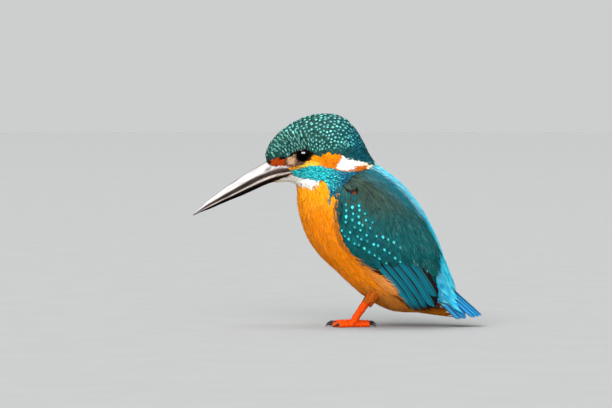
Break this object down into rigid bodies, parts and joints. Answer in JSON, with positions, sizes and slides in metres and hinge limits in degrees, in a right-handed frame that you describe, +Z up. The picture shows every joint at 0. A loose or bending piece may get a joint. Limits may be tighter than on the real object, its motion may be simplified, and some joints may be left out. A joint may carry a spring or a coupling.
{
  "type": "common kingfisher",
  "caption": "Life-size common kingfisher standing hunched on both feet, bill held low, wings folded over a short tail; a still museum model.",
  "frame": {"origin": "on the floor, at the middle of the bounding box", "axes": "+Z up; the bird faces -X and is symmetric about the XZ plane, its left side towards -Y"},
  "size_m": [0.1245, 0.0416, 0.0913],
  "materials": {
    "crown": "barred blue-green feathers",
    "neck": "white and orange feathers",
    "breast": "soft orange feathers",
    "wing": "teal vanes with a silky sheen",
    "tail": "blue vanes with a silky sheen",
    "bill": "horn, satin gloss",
    "eye": "wet gloss",
    "leg": "scaled orange-red skin",
    "claw": "dark horn"
  },
  "bodies": {
    "root": {"head": "crown", "neck": "neck", "trunk": "breast", "wing_left": "wing", "wing_right": "wing", "flight_left": "wing", "flight_right": "wing", "tail": "tail", "bill_upper": "bill", "bill_lower": "bill", "eye_left": "eye", "eye_right": "eye", "leg_left": "leg", "leg_right": "leg", "foot_left": "leg", "foot_right": "leg", "claw_left_inner": "claw", "claw_left_middle": "claw", "claw_left_outer": "claw", "claw_left_hind": "claw", "claw_right_inner": "claw", "claw_right_middle": "claw", "claw_right_outer": "claw", "claw_right_hind": "claw"}
  },
  "joints": []
}
